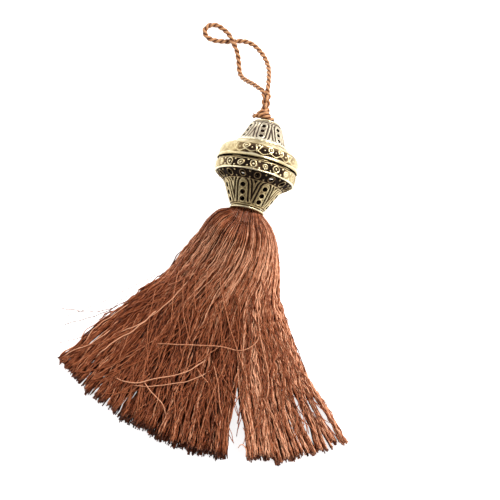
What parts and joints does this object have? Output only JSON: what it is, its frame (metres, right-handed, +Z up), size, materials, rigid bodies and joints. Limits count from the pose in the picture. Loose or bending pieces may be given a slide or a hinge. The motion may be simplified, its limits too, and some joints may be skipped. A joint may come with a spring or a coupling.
{
  "type": "bead tassel",
  "caption": "Tassel lying flat: pierced brass filigree bead on a knotted cord loop, over a fanned skirt of yarn in separate locks.",
  "frame": {"origin": "middle of the footprint of the bead and skirt, on the surface that the tassel lies on", "axes": "+Y along the bead's axis towards the hanging loop, +Z up, +X to the right seen from above with the loop away"},
  "size_m": [0.09, 0.1319, 0.0247],
  "materials": {
    "antique_brass": "cast filigree brass, dark patina in the recesses, polished on the ribs",
    "bright_brass": "pale rubbed brass rim",
    "twisted_cord": "two-ply twisted rayon cord, light copper brown, soft sheen",
    "inner_yarn": "silky rayon floss, dark rust brown",
    "outer_yarn": "silky rayon floss, rust brown with a pinkish tan sheen"
  },
  "bodies": {
    "core": {"core_cord": "twisted_cord", "top_knot": "twisted_cord", "strand_fold": "inner_yarn", "bundle_neck": "inner_yarn", "middle_lock_1_under": "inner_yarn", "middle_lock_1_over": "outer_yarn", "middle_lock_2_under": "inner_yarn", "middle_lock_2_over": "outer_yarn"},
    "bead": {"upper_shell": "antique_brass", "lower_shell": "antique_brass", "top_collar": "bright_brass", "bottom_collar": "bright_brass"},
    "stem": {"loop_stem": "twisted_cord"},
    "loop": {"hanging_loop": "twisted_cord"},
    "left_fan": {"left_lock_1_under": "inner_yarn", "left_lock_1_over": "outer_yarn", "left_lock_2_under": "inner_yarn", "left_lock_2_over": "outer_yarn", "left_lock_3_under": "inner_yarn", "left_lock_3_over": "outer_yarn"},
    "right_lock": {"right_lock_1_under": "inner_yarn", "right_lock_1_over": "outer_yarn", "right_lock_2_under": "inner_yarn", "right_lock_2_over": "outer_yarn", "right_lock_3_under": "inner_yarn", "right_lock_3_over": "outer_yarn"}
  },
  "joints": [
    {"name": "bead_spin", "type": "hinge", "parent": "core", "child": "bead", "pos_m": [-0.00064, 0.03542, 0.01235], "axis": [0, 1, 0], "continuous": true},
    {"name": "loop_lift", "type": "hinge", "parent": "core", "child": "stem", "pos_m": [-0.00194, 0.05147, 0.01235], "axis": [1, 0, 0], "range_deg": [0, 95]},
    {"name": "loop_swing", "type": "hinge", "parent": "stem", "child": "loop", "pos_m": [-0.00274, 0.05763, 0.0113], "axis": [0, 0, 1], "range_deg": [-80, 30]},
    {"name": "left_fan_spread", "type": "hinge", "parent": "core", "child": "left_fan", "pos_m": [-0.00064, 0.02123, 0.01235], "axis": [0, 0, 1], "range_deg": [-15, 0]},
    {"name": "right_lock_spread", "type": "hinge", "parent": "core", "child": "right_lock", "pos_m": [-0.00064, 0.02123, 0.01235], "axis": [0, 0, 1], "range_deg": [0, 15]}
  ]
}
